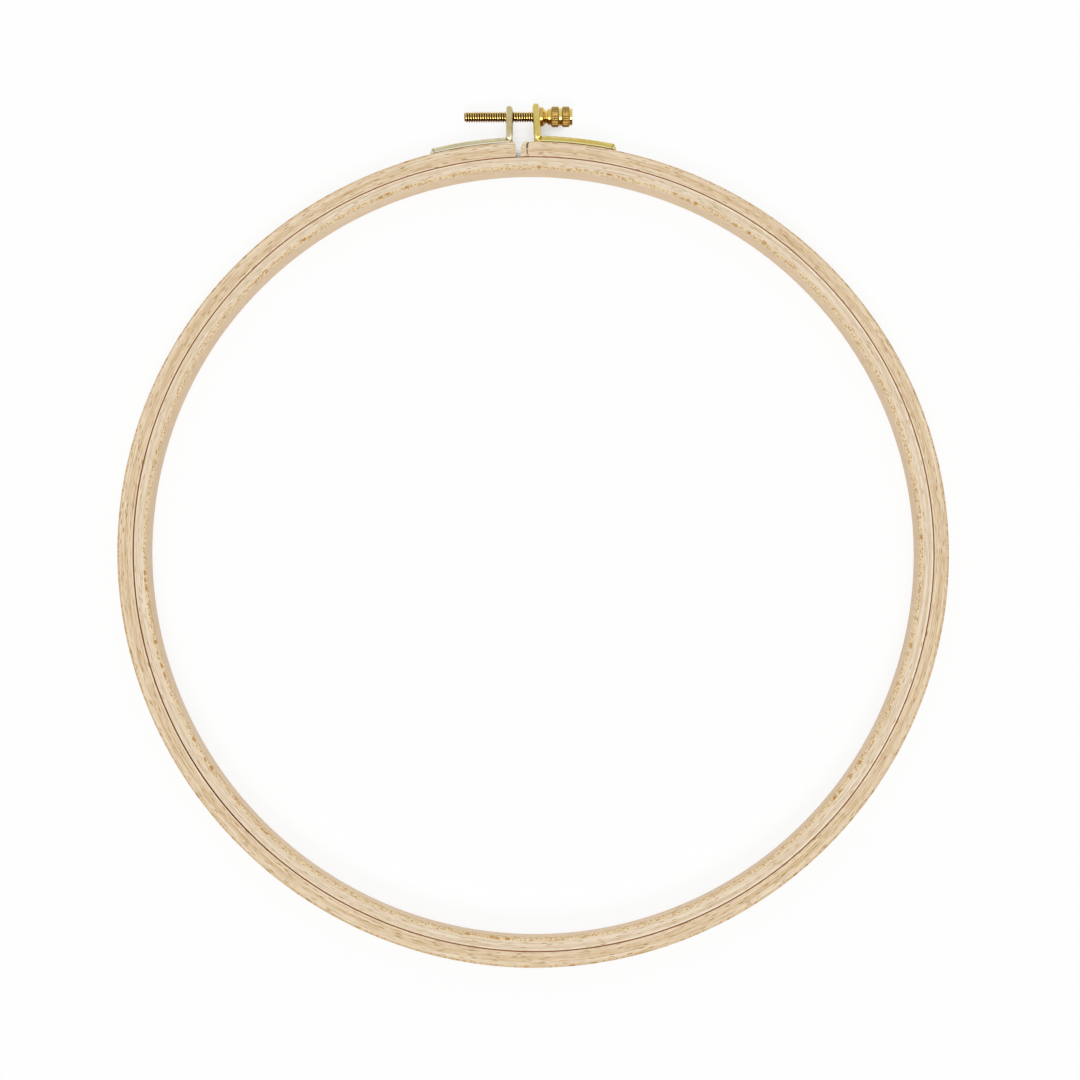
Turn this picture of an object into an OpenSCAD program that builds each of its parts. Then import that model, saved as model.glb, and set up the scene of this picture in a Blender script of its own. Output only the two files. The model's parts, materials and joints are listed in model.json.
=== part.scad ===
// Wooden embroidery hoop with brass fittings.
// Two nested beech rings hold the cloth. The outer ring is cut through at one
// place, and a thumbscrew between two pressed brass brackets draws it together.
// The hoop lies flat with its axis along +Z and its centre at the origin. The
// fittings are on the +Y side of the rim, with the thumbscrew's head towards +X.

/* [Rings] */
// Outside diameter of the inner ring, the hoop's trade size
hoop_d = 254; // [220:1:300]
// Depth of both rings along the axis
hoop_depth = 9.5; // [8:0.5:14]
// Radial thickness of the wood in each ring
ring_t = 4.8; // [4:0.1:7]
// Radial gap between the two rings, which the cloth fills
ring_gap = 0.35; // [0.3:0.05:0.6]
// Rounding of the edges along the joint and the rim
edge_r = 0.8; // [0.4:0.1:1.4]
// Rounding of the inner ring's edges around the work opening
opening_edge_r = 1.5; // [0.8:0.1:1.9]

/* [Saw cut] */
// Width of the saw cut through the outer ring
cut_w = 1.7; // [1:0.1:2.4]
// Distance of the saw cut's middle from the hoop's centre line
cut_x = -4.4; // [-4.8:0.1:-3.4]
// Easing of the saw cut's corners on the rim
cut_ease = 0.6; // [0.3:0.1:0.9]

/* [Brackets] */
// Width of the pressed brass strip
strip_w = 6; // [5.6:0.1:7]
// Thickness of the brass sheet
sheet_t = 0.7; // [0.6:0.05:0.9]
// Height of the turned-up rim around the strip, sheet included
rim_h = 2.15; // [1.9:0.05:2.4]
// Outside radius of the bend between the strip and its lug
bend_r = 1.8; // [1.5:0.1:2.2]
// Rounding of the strip's corners, seen square to the sheet
corner_r = 1.5; // [1:0.1:2]
// Distance from the hoop's centre line to the plain lug's inner face
plain_lug_x = 0.05; // [0:0.05:0.6]
// Distance from the hoop's centre line to the threaded lug's inner face
threaded_lug_x = 6.2; // [6:0.1:7]
// Distance from the hoop's centre line to the end of the plain bracket
plain_tail_x = 27.1; // [24:0.1:34]
// Distance from the hoop's centre line to the end of the threaded bracket
threaded_tail_x = 33; // [28:0.1:38]
// Height of the plain lug above the screw's axis
plain_lug_rise = 4.6; // [4:0.1:5.2]
// Height of the threaded lug above the screw's axis
threaded_lug_rise = 3.8; // [3.4:0.1:5]

/* [Nails] */
// Diameter of a nail's shank
nail_d = 1.2; // [1:0.1:1.4]
// Depth of a nail in the wood
nail_depth = 3.6; // [2.5:0.1:4]
// Diameter of a nail's head
nail_head_d = 2.4; // [2:0.1:3]
// Thickness of a nail's head
nail_head_h = 0.5; // [0.3:0.1:0.8]

/* [Thumbscrew] */
// Height of the screw's axis above the rim
screw_rise = 9; // [8:0.1:10]
// Outside diameter of the thread
thread_d = 3.5; // [3.4:0.01:3.6]
// Pitch of the thread
thread_pitch = 0.794; // [0.7:0.001:0.8]
// Number of turns of thread
thread_turns = 27; // [24:1:30]
// Diameter of the holes in both lugs
lug_hole_d = 3.8; // [3.75:0.05:4]
// Diameter of the collar that bears on the plain lug
collar_d = 6.3; // [6:0.1:6.6]
// Diameter of the waist behind the collar
waist_d = 4.2; // [3.8:0.1:4.6]
// Diameter of the bead before the knurled bands
bead_d = 5.25; // [5:0.05:5.6]
// Diameter of the knurled bands
knurl_d = 6.6; // [6.4:0.1:7]
// Number of ridges around a knurled band
knurl_ridges = 32; // [24:1:40]
// Diameter of the groove between the knurled bands
groove_d = 5.6; // [5.2:0.1:5.8]
// Diameter of the boss on the head's end
boss_d = 5.35; // [5:0.05:5.6]

/* [Travel] */
// How far the screw lets the lugs spread from the clamped position
opening_travel = 10; // [4:0.5:14]

/* [Hidden] */
$fn = 96;
beech = [0.82, 0.70, 0.54];
pale_beech = [0.86, 0.76, 0.62];
brass = [0.78, 0.68, 0.36];
gold_brass = [0.72, 0.55, 0.18];

inner_rim_r = hoop_d / 2;
opening_r = inner_rim_r - ring_t;
outer_bore_r = inner_rim_r + ring_gap;
rim_r = outer_bore_r + ring_t;

screw_y = rim_r + screw_rise;
threaded_mid_x = -(threaded_lug_x + rim_h / 2);
// The outer ring flexes about its far side. With this line half the travel past the
// lug, the threaded hole comes back to the screw's axis when the lugs are spread.
flex_x = threaded_mid_x - opening_travel / 2;

// The nails stand at these shares of the strip, counted from its bend to its end
nail_places = [0.34, 0.78];

// The rim gathers into a small fillet in the inside of the bend
inner_bend_r = 0.9;
strip_steps = 16;
bend_steps = 8;
// The tapped collar's wall, and how far it ends below the tray's rim
tapped_wall = 0.6;
tapped_set_back = 0.25;
head_clearance = 0.05;
head_x = plain_lug_x + rim_h + head_clearance;
collar_l = 1.6;
collar_ease = 0.2;
waist_l = 1.1;
// The shares of the waist's length between which it is narrowest
waist_from = 0.55;
waist_to = 0.75;
bead_l = 1;
knurl_l = 2.75;
groove_l = 0.75;
boss_l = 0.8;
knurl_bevel = 0.35;
knurl_depth = 0.25;
// The thread's depth and the flats at its roots and crests, in pitches
thread_depth = 0.6134 * thread_pitch;
root_flat = 0.25;
crest_flat = 0.125;
flank = (1 - root_flat - crest_flat) / 2;
neck_l = 0.95;
thread_end_x = plain_lug_x - neck_l;
tip_l = 0.5;
past = 1;

// The nearest and farthest angles of a bracket's strip, from the +Y direction
function bend_angle(lug_x) = asin((lug_x + bend_r) / (rim_r + bend_r));
function tail_angle(tail_x) = asin(tail_x / (rim_r + rim_h / 2));
function nail_angle(lug_x, tail_x, share) =
    bend_angle(lug_x) + share * (tail_angle(tail_x) - bend_angle(lug_x));

// A ring's section: a rectangle from bore to rim with its edges rounded
module ring_section(bore, rim, bore_edge, rim_edge) {
    half = hoop_depth / 2;
    translate([bore + bore_edge, -half])
        square([rim - rim_edge - bore - bore_edge, hoop_depth]);
    translate([bore, bore_edge - half]) square([bore_edge, hoop_depth - 2 * bore_edge]);
    translate([rim - rim_edge, rim_edge - half]) square([rim_edge, hoop_depth - 2 * rim_edge]);
    for (face = [-1, 1]) {
        translate([bore + bore_edge, face * (half - bore_edge)]) circle(bore_edge);
        translate([rim - rim_edge, face * (half - rim_edge)]) circle(rim_edge);
    }
}

// The side view of a bracket is drawn with lines that run at a distance d from the
// sheet's back: along the rim from the tail, round a corner of radius rho, up the lug.
// The straight steps along the rim touch its circle at their middles.
function side_line(lug_x, tail, lug_top, d, rho) =
    let (x = lug_x + d + rho, near = asin(x / (rim_r + d + rho)), y = x / tan(near),
        step = (tail - near) / strip_steps, r = (rim_r + d) / cos(step / 2))
    concat(
        [for (i = [0:strip_steps]) r * [sin(tail - i * step), cos(tail - i * step)]],
        [for (i = [1:bend_steps]) let (a = near + (90 - near) * i / bend_steps)
            [x - rho * sin(a), y - rho * cos(a)]],
        [[lug_x + d, lug_top]]
    );

function reversed(points) = [for (i = [len(points) - 1:-1:0]) points[i]];

// Puts its children on the rim at an angle from the +Y direction, with +Y outwards
module on_rim(angle) {
    rotate([0, 0, -angle]) translate([0, rim_r, 0]) children();
}

// The waste outside a rounded corner of a strip, between its end and its edge
module corner_waste(height) {
    for (side = [-1, 1])
        difference() {
            translate([-corner_r, -past, side > 0 ? strip_w / 2 - corner_r : -strip_w / 2 - past])
                cube([corner_r + past, height + 2 * past, corner_r + past]);
            translate([-corner_r, -2 * past, side * (strip_w / 2 - corner_r)])
                rotate([-90, 0, 0]) cylinder(h = height + 4 * past, r = corner_r);
        }
}

// A bracket pressed from sheet into a shallow tray, then bent into a strip along the
// rim and a lug that stands off it. It is drawn for the +X side. A second, smaller
// block of the same shape hollows the tray out.
module bracket_block(lug_x, tail, lug_top, back, front, width) {
    linear_extrude(height = width, center = true)
        polygon(concat(
            side_line(lug_x, tail, lug_top, back, bend_r - back),
            reversed(side_line(lug_x, tail, lug_top, front, inner_bend_r))
        ));
}

module bracket(lug_x, tail_x, lug_rise, tapped_l) {
    lug_top = screw_y + lug_rise;
    tail = tail_angle(tail_x);
    difference() {
        union() {
            difference() {
                bracket_block(lug_x, tail, lug_top, 0, rim_h, strip_w);
                bracket_block(lug_x, tail - asin(sheet_t / rim_r), lug_top - sheet_t,
                    sheet_t, rim_h + past, strip_w - 2 * sheet_t);
            }
            // The sheet is drawn out into a collar where the hole is tapped
            if (tapped_l > 0)
                translate([lug_x, screw_y, 0])
                    rotate([0, 90, 0]) cylinder(h = tapped_l, d = lug_hole_d + 2 * tapped_wall);
        }
        translate([lug_x - past, screw_y, 0])
            rotate([0, 90, 0]) cylinder(h = rim_h + 2 * past, d = lug_hole_d);
        on_rim(tail) corner_waste(rim_h);
        translate([lug_x, lug_top, 0]) rotate([0, 0, 90]) mirror([0, 1, 0]) corner_waste(rim_h);
        for (share = nail_places)
            on_rim(nail_angle(lug_x, tail_x, share)) nail_shank();
    }
}

module nail_shank() {
    translate([0, -nail_depth, 0])
        rotate([-90, 0, 0]) cylinder(h = nail_depth + sheet_t, d = nail_d);
}

module nails(lug_x, tail_x) {
    for (share = nail_places)
        on_rim(nail_angle(lug_x, tail_x, share)) {
            nail_shank();
            translate([0, sheet_t, 0])
                rotate([-90, 0, 0]) cylinder(h = nail_head_h, d = nail_head_d);
        }
}

// The saw cut, with the corners on the rim eased
module saw_cut() {
    height = hoop_depth + 2 * past;
    translate([cut_x - cut_w / 2, outer_bore_r - past - ring_t, -height / 2])
        cube([cut_w, 2 * ring_t + 2 * past, height]);
    translate([cut_x, rim_r - cut_w / 2 - cut_ease, -height / 2])
        linear_extrude(height = height) polygon([[0, 0], [ring_t, ring_t], [-ring_t, ring_t]]);
}

module outer_ring() {
    difference() {
        rotate_extrude() ring_section(outer_bore_r, rim_r, edge_r, edge_r);
        saw_cut();
        for (share = nail_places) {
            on_rim(nail_angle(plain_lug_x, plain_tail_x, share)) nail_shank();
            on_rim(-nail_angle(threaded_lug_x, threaded_tail_x, share)) nail_shank();
        }
    }
}

// The side of the outer ring that moves with the threaded bracket
module flexing_side() {
    reach = rim_r + past;
    linear_extrude(height = 2 * hoop_depth, center = true)
        polygon([
            [-reach, -reach], [flex_x, -reach], [flex_x, 0],
            [cut_x, 0], [cut_x, reach], [-reach, reach]
        ]);
}

module inner_ring() {
    color(pale_beech)
        rotate_extrude() ring_section(opening_r, inner_rim_r, opening_edge_r, edge_r);
}

module outer_ring_right() {
    color(beech) difference() {
        outer_ring();
        flexing_side();
    }
}

module outer_ring_left() {
    color(beech) intersection() {
        outer_ring();
        flexing_side();
    }
}

module plain_bracket() {
    color(brass) bracket(plain_lug_x, plain_tail_x, plain_lug_rise, 0);
}

module threaded_bracket() {
    color(brass) mirror([1, 0, 0])
        bracket(threaded_lug_x, threaded_tail_x, threaded_lug_rise, rim_h - tapped_set_back);
}

module plain_bracket_nails() {
    color(brass) nails(plain_lug_x, plain_tail_x);
}

module threaded_bracket_nails() {
    color(brass) mirror([1, 0, 0]) nails(threaded_lug_x, threaded_tail_x);
}

// A length of thread drawn as ridges, from the tip at 0 towards the head
module thread() {
    crest = thread_d / 2;
    root = crest - thread_depth;
    length = thread_turns * thread_pitch;
    ridges = [
        for (turn = [0:thread_turns - 1])
            for (step = [[root, 0], [root, root_flat], [crest, root_flat + flank],
                    [crest, root_flat + flank + crest_flat]])
                [step[0], (turn + step[1]) * thread_pitch]
    ];
    intersection() {
        rotate_extrude() polygon(concat([[0, 0]], ridges, [[root, length], [0, length]]));
        rotate_extrude()
            polygon([[0, 0], [crest - tip_l, 0], [crest + past, tip_l + past],
                [crest + past, length], [0, length]]);
    }
}

// A knurled band: ridges along the axis, with both ends of the band bevelled
module knurled_band() {
    tip = knurl_d / 2;
    intersection() {
        linear_extrude(height = knurl_l)
            polygon([
                for (i = [0:2 * knurl_ridges - 1])
                    let (r = i % 2 == 0 ? tip : tip - knurl_depth, a = 180 * i / knurl_ridges)
                        [r * cos(a), r * sin(a)]
            ]);
        rotate_extrude()
            polygon([[0, 0], [tip - knurl_bevel, 0], [tip, knurl_bevel],
                [tip, knurl_l - knurl_bevel], [tip - knurl_bevel, knurl_l], [0, knurl_l]]);
    }
}

// The head turned from the bar: collar, hollow waist, bead, groove and boss
module turned_head() {
    band_1 = collar_l + waist_l + bead_l;
    band_2 = band_1 + knurl_l + groove_l;
    cylinder(h = collar_l, d = collar_d);
    rotate_extrude()
        polygon([[0, collar_l], [collar_d / 2 - collar_ease, collar_l],
            [waist_d / 2, collar_l + waist_from * waist_l], [waist_d / 2, collar_l + waist_to * waist_l],
            [bead_d / 2, collar_l + waist_l], [bead_d / 2, band_1], [0, band_1]]);
    translate([0, 0, band_1]) knurled_band();
    translate([0, 0, band_1 + knurl_l]) cylinder(h = groove_l, d = groove_d);
    translate([0, 0, band_2]) knurled_band();
    translate([0, 0, band_2 + knurl_l]) cylinder(h = boss_l, d = boss_d);
}

module thumbscrew() {
    thread_l = thread_turns * thread_pitch;
    color(gold_brass) translate([0, screw_y, 0]) rotate([0, 90, 0]) {
        translate([0, 0, thread_end_x - thread_l]) thread();
        translate([0, 0, thread_end_x]) cylinder(h = head_x - thread_end_x, d = thread_d);
        translate([0, 0, head_x]) turned_head();
    }
}

inner_ring();
outer_ring_right();
outer_ring_left();
plain_bracket();
threaded_bracket();
plain_bracket_nails();
threaded_bracket_nails();
thumbscrew();
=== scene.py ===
import json
import math

import bmesh
import bpy
import numpy as np
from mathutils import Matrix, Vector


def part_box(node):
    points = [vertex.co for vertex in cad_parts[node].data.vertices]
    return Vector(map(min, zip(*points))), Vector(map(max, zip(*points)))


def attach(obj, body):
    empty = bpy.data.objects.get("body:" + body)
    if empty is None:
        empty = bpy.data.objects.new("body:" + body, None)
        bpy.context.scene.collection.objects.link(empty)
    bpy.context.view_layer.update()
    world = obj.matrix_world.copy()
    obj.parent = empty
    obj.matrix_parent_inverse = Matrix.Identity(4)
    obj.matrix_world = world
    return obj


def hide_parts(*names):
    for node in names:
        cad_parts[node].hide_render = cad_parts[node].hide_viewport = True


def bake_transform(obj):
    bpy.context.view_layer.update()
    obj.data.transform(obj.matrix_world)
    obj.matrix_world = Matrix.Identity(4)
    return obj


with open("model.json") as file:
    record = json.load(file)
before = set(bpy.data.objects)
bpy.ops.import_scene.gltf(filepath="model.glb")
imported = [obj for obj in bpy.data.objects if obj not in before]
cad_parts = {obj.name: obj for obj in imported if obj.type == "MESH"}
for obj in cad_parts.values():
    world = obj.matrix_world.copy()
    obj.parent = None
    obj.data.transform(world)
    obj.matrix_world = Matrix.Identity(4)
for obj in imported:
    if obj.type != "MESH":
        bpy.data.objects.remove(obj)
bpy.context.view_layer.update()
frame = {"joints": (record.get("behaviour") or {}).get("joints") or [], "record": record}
mm = 0.001

# Inner ring
# A closed ring of beech: one sawn strip, steamed, bent round a former and glued end
# to end in a long scarf. Its edges around the work opening are rounded over by hand.

half_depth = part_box("inner_ring")[1].z
inner_rim_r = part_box("inner_ring")[1].x
work_opening = next(m for m in frame["record"]["mounts"] if m["name"] == "work_opening")
opening_r = work_opening["dims"]["r_mm"] * mm
ring_t = inner_rim_r - opening_r
opening_edge_r = 1.5 * mm
joint_edge_r = 0.25 * mm
scarf_angle = math.radians(14)
scarf_place = math.radians(158)
open_place = math.radians(232)
ring_rows = 720


def out_of_round(angle):
    """How far a bent ring lies off its true circle, by the angle clockwise from the
    fittings: a little inside it all round, with an oval, three flats and a flatter top."""
    oval = 0.31 * np.cos(2 * angle + math.radians(125))
    return (-0.36 + oval - 0.13 * np.cos(3 * angle) - 0.1 * np.cos(angle)) * mm


def joint_shift(angle):
    """How much further out the joint between the rings lies: a strip thins to one side."""
    return (0.06 + 0.21 * np.cos(angle - math.radians(101))) * mm


def sanded_off(angle):
    """How much the hand has taken off the opening's wall: most of it at the upper left."""
    oval = 0.14 * np.cos(2 * angle + math.radians(43))
    return (0.39 + 0.14 * np.cos(angle + math.radians(33)) + oval) * mm


def ring_section(bore, rim, bore_edge, rim_edge):
    """A ring's section as radius and height along a closed loop: four quarter circles,
    each followed by the straight side that leads to the next one. They are set out from
    the back, by the rim, and anticlockwise with the radius to the right, and then turned
    round, so that the faces of a ring carried round clockwise look outward."""
    arc_steps, side_steps = 9, 8
    edge = np.array([rim_edge, rim_edge, bore_edge, bore_edge])[:, None]
    side = np.array([1, 1, -1, -1])[:, None]
    face = np.array([-1, 1, 1, -1])[:, None]
    middle_r = np.where(side > 0, rim, bore) - side * edge
    middle_z = face * (half_depth - edge)
    turn = np.radians(-90 + 90 * np.arange(4)[:, None] + np.linspace(0, 90, arc_steps + 1))
    arc_r = middle_r + edge * np.cos(turn)
    arc_z = middle_z + edge * np.sin(turn)
    share = np.linspace(0, 1, side_steps + 1)[1:-1]
    side_r = arc_r[:, -1:] + (np.roll(arc_r[:, :1], -1, 0) - arc_r[:, -1:]) * share
    side_z = arc_z[:, -1:] + (np.roll(arc_z[:, :1], -1, 0) - arc_z[:, -1:]) * share
    return np.hstack([arc_r, side_r]).ravel()[::-1], np.hstack([arc_z, side_z]).ravel()[::-1]


def skin(name, points, wrap_rows, wrap_columns, strip=None, end_caps=False):
    """A mesh of quads over a grid of points. A wrapped grid joins its last row or column
    to its first. The strip attribute, which has one more row or column where the grid
    wraps, is kept per face corner, so that it may jump at the seam."""
    rows, columns = points.shape[:2]
    index = np.arange(rows * columns).reshape(rows, columns)
    if wrap_rows:
        index = np.vstack([index, index[:1]])
    if wrap_columns:
        index = np.hstack([index, index[:, :1]])

    def corners(grid):
        return np.stack([grid[:-1, :-1], grid[1:, :-1], grid[1:, 1:], grid[:-1, 1:]], 2)

    faces = corners(index).reshape(-1, 4).tolist()
    if end_caps:
        faces += [index[0, :-1].tolist(), index[-1, -2::-1].tolist()]
    mesh = bpy.data.meshes.new(name)
    mesh.from_pydata(points.reshape(-1, 3).tolist(), [], faces)
    if strip is not None:
        values = corners(strip).reshape(-1, 3)
        if end_caps:
            values = np.vstack([values, strip[0, :-1], strip[-1, -2::-1]])
        layer = mesh.attributes.new("strip", "FLOAT_VECTOR", "CORNER")
        layer.data.foreach_set("vector", values.astype(np.float32).ravel())
    mesh.shade_smooth()
    return mesh


def piece(name, mesh, material, body, slot, *nodes):
    """Puts a mesh into the scene as a piece that rides on a body and stands for nodes."""
    obj = bpy.data.objects.new(name, mesh)
    bpy.context.scene.collection.objects.link(obj)
    mesh.materials.append(material)
    if body:
        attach(obj, body)
    if nodes:
        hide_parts(*nodes)
    return obj


def place(tree, kind, inputs=None, **settings):
    """Adds a shader node, sets its options, and sets or links its inputs."""
    node = tree.nodes.new("ShaderNode" + kind)
    for option, value in settings.items():
        setattr(node, option, value)
    for socket, value in (inputs or {}).items():
        if isinstance(value, bpy.types.NodeSocket):
            tree.links.new(value, node.inputs[socket])
        else:
            node.inputs[socket].default_value = value
    return node


def math_of(tree, operation, a, b=0.0, c=0.0):
    """The value of one sum in a shader."""
    return place(tree, "Math", {0: a, 1: b, 2: c}, operation=operation).outputs[0]


def ease(tree, value, low, high, to_low=0.0, to_high=1.0):
    """A smooth step of a value from low to high."""
    ends = {"Value": value, 1: low, 2: high, 3: to_low, 4: to_high}
    return place(tree, "MapRange", ends, interpolation_type="SMOOTHSTEP").outputs[0]


def tint(tree, factor, below, above):
    """Mixes two colours by a factor."""
    return place(tree, "Mix", {0: factor, 6: below, 7: above}, data_type="RGBA").outputs[2]


def srgb(red, green, blue):
    """A colour as a screen shows it, 0 to 255, made linear."""
    share = np.array([red, green, blue]) / 255
    linear = np.where(share <= 0.04045, share / 12.92, ((share + 0.055) / 1.055) ** 2.4)
    return (*linear.tolist(), 1.0)


def new_group(name, inputs, outputs):
    """An empty shader node group with named sockets: the group, its input and its output."""
    group = bpy.data.node_groups.new(name, "ShaderNodeTree")
    for direction, sockets in (("INPUT", inputs), ("OUTPUT", outputs)):
        for socket, kind in sockets.items():
            group.interface.new_socket(socket, in_out=direction, socket_type="NodeSocket" + kind)
    return group, group.nodes.new("NodeGroupInput"), group.nodes.new("NodeGroupOutput")


def stretched(tree, spot, lengths, shift):
    """A place scaled so that one unit is so many millimetres each way, and then shifted."""
    scale = tuple(1 / (length * mm) for length in lengths)
    scaled = place(tree, "VectorMath", {0: spot, 1: scale}, operation="MULTIPLY").outputs[0]
    return place(tree, "VectorMath", {0: scaled, 1: shift}, operation="ADD").outputs[0]


def streaks(tree, spot, lengths, shift, detail, roughness):
    """Noise whose marks are about so many millimetres long, wide and deep."""
    inputs = {
        "Vector": stretched(tree, spot, lengths, shift),
        "Scale": 1.0, "Detail": detail, "Roughness": roughness,
    }
    return place(tree, "TexNoise", inputs).outputs[0]


def spindles(tree, spot, cell, shift, kept, size):
    """Scattered oval marks, one in each cell of a random honeycomb whose cells are so many
    millimetres long and wide. A mark reaches a share of its cell's size from its middle.
    Only some of the cells keep their mark, and the marks differ in strength."""
    inputs = {"Vector": stretched(tree, spot, (*cell, 1), shift), "Scale": 1.0}
    cells = place(tree, "TexVoronoi", inputs, voronoi_dimensions="2D")
    body = ease(tree, cells.outputs["Distance"], 1.3 * size, 0.7 * size)
    chance = place(tree, "SeparateColor", {0: cells.outputs["Color"]}).outputs
    chosen = ease(tree, chance[0], 1.0 - kept, 1.05 - kept)
    strength = ease(tree, chance[1], -0.4, 1.0)
    return math_of(tree, "MULTIPLY", body, math_of(tree, "MULTIPLY", chosen, strength))


def beech_grain():
    """The figure of beech in a strip whose coordinates are length, thickness and depth:
    growth lines that run far along it, a slow change of tone, fibres, short dark dashes
    where rays are cut end on, and flecks where a rounded edge cuts along their sides."""
    group, given, made = new_group(
        "beech_grain",
        {"Strip": "Vector", "Shift": "Vector"},
        {"Lines": "Float", "Tone": "Float", "Fibres": "Float", "Dashes": "Float", "Flecks": "Float"},
    )
    strip, shift = given.outputs[0], given.outputs[1]
    lines = streaks(group, strip, (40, 0.5, 5), shift, 4, 0.6)
    tone = streaks(group, strip, (30, 4, 12), shift, 2, 0.5)
    fibres = streaks(group, strip, (3.6, 0.2, 0.5), shift, 2, 0.6)
    # Across and depth are added up, so that the same marks serve the faces and the walls
    parts = place(group, "SeparateXYZ", {0: strip}).outputs
    unrolled = math_of(group, "ADD", parts[1], parts[2])
    flat = place(group, "CombineXYZ", {0: parts[0], 1: unrolled}).outputs[0]
    short = spindles(group, flat, (6.0, 0.7), shift, 0.85, 0.16)
    long = spindles(group, flat, (17.0, 0.62), shift, 0.6, 0.17)
    dashes = math_of(group, "MAXIMUM", short, math_of(group, "MULTIPLY", long, 0.7))
    gathered = ease(group, streaks(group, strip, (25, 1.6, 6), shift, 1, 0.5), 0.35, 0.55, 0.4, 1.0)
    unit = {"Vector": stretched(group, strip, (0.9, 0.9, 0.9), shift), "Scale": 1.0, "Detail": 1.0}
    wander = place(group, "TexNoise", unit).outputs["Color"]
    aside = {0: wander, 1: (0.8 * mm, 0.6 * mm, 0.0), 2: flat}
    ragged = place(group, "VectorMath", aside, operation="MULTIPLY_ADD").outputs[0]
    large = spindles(group, ragged, (2.6, 2.2), shift, 0.5, 0.33)
    clustered = ease(group, streaks(group, strip, (22, 9, 9), shift, 1, 0.5), 0.42, 0.54, 0.1, 1.0)
    small = spindles(group, ragged, (1.1, 0.7), shift, 0.9, 0.32)
    strong = math_of(group, "MULTIPLY", large, clustered)
    flecks = math_of(group, "MAXIMUM", strong, small)
    marks = (lines, tone, fibres, math_of(group, "MULTIPLY", dashes, gathered), flecks)
    for socket, value in zip(made.inputs, marks):
        group.links.new(value, socket)
    return group


grain = beech_grain()


def beech(name, shift, tones, dash, fleck, band_tone, ink, zones):
    """Sanded beech: growth lines between three tones, dashes and flecks, with a painted
    highlight on the edges by the joint, walls in a pinker tone painted paler to make up for
    their shade, painted brown shade along the joint and a mark in ink, where zones is a
    function that gives the masks."""
    light, middle, dark = tones
    material = bpy.data.materials.new(name)
    material.use_nodes = True
    tree = material.node_tree
    shader = tree.nodes["Principled BSDF"]
    strip = place(tree, "Attribute", attribute_name="strip").outputs["Vector"]
    figure = place(tree, "Group", node_tree=grain)
    tree.links.new(strip, figure.inputs["Strip"])
    figure.inputs["Shift"].default_value = shift
    lines, tone, fibres, dashes, flecks = figure.outputs[:5]
    edge, band, wall, joint, late, mark = zones(tree, strip, tone)

    colour = tint(tree, ease(tree, lines, 0.36, 0.5), dark, middle)
    colour = tint(tree, ease(tree, lines, 0.5, 0.64), colour, light)
    colour = tint(tree, ease(tree, tone, 0.4, 0.65, 0.0, 0.5), colour, middle)
    colour = tint(tree, math_of(tree, "MULTIPLY", late, 0.4), colour, dark)
    colour = tint(tree, ease(tree, fibres, 0.51, 0.63, 0.0, 0.55), colour, light)
    colour = tint(tree, ease(tree, fibres, 0.47, 0.35, 0.0, 0.55), colour, dark)
    # Painted highlight: the edges by the joint are painted paler, as where light catches them; the
    # same tint also marks a pale growth ring
    colour = tint(tree, math_of(tree, "MULTIPLY", edge, 0.85), colour, srgb(250, 240, 220))
    colour = tint(tree, math_of(tree, "MULTIPLY", band, 0.7), colour, band_tone)
    # The walls take a pinker tone, painted paler as well to make up for the shade they get
    colour = tint(tree, math_of(tree, "MULTIPLY", wall, 0.75), colour, srgb(234, 206, 172))
    dash_share = math_of(tree, "MULTIPLY", dashes, ease(tree, wall, 0.0, 1.0, 0.95, 0.3))
    colour = tint(tree, dash_share, colour, dash)
    fleck_share = math_of(tree, "MULTIPLY", band, ease(tree, wall, 0.0, 0.5, 0.95, 0.25))
    colour = tint(tree, math_of(tree, "MULTIPLY", flecks, fleck_share), colour, fleck)
    # Painted shade: the edges of the joint are painted brown, as shade falls between the rings
    colour = tint(tree, math_of(tree, "MULTIPLY", joint, 0.9), colour, srgb(160, 92, 10))
    colour = tint(tree, math_of(tree, "MULTIPLY", mark, 0.85), colour, ink)
    tree.links.new(colour, shader.inputs["Base Color"])
    tree.links.new(ease(tree, fibres, 0.2, 0.8, 0.66, 0.54), shader.inputs["Roughness"])
    shader.inputs["Specular IOR Level"].default_value = 0.3
    height = math_of(tree, "SUBTRACT", fibres, math_of(tree, "MULTIPLY", dashes, 0.3))
    bump = place(tree, "Bump", {"Strength": 0.15, "Distance": 0.06 * mm, "Height": height})
    tree.links.new(bump.outputs[0], shader.inputs["Normal"])
    return material


def growth_ring(tree, across, tone, middle, width):
    """A mask for one growth ring that runs the whole way round and wanders a little."""
    wandering = math_of(tree, "MULTIPLY_ADD", tone, 1.6 * mm, -0.8 * mm - middle)
    from_middle = math_of(tree, "ABSOLUTE", math_of(tree, "ADD", across, wandering))
    return ease(tree, from_middle, width, 0.2 * width)


def joint_shade(tree, length, from_joint, up, rim_r):
    """A mask for painted brown shade on the edges of the joint between the rings: wide where
    they press on each other, and narrow on the lower left, where the joint stands open."""
    from_open = math_of(tree, "ABSOLUTE", math_of(tree, "SUBTRACT", length, open_place * rim_r))
    narrower = ease(tree, from_open, 0.4 * rim_r, 0.1 * rim_r, 0.0, 0.08 * mm)
    near = ease(tree, math_of(tree, "ADD", from_joint, narrower), 0.29 * mm, 0.1 * mm)
    arris = ease(tree, up, half_depth - 0.9 * mm, half_depth - 0.5 * mm)
    return math_of(tree, "MULTIPLY", near, arris)


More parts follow.
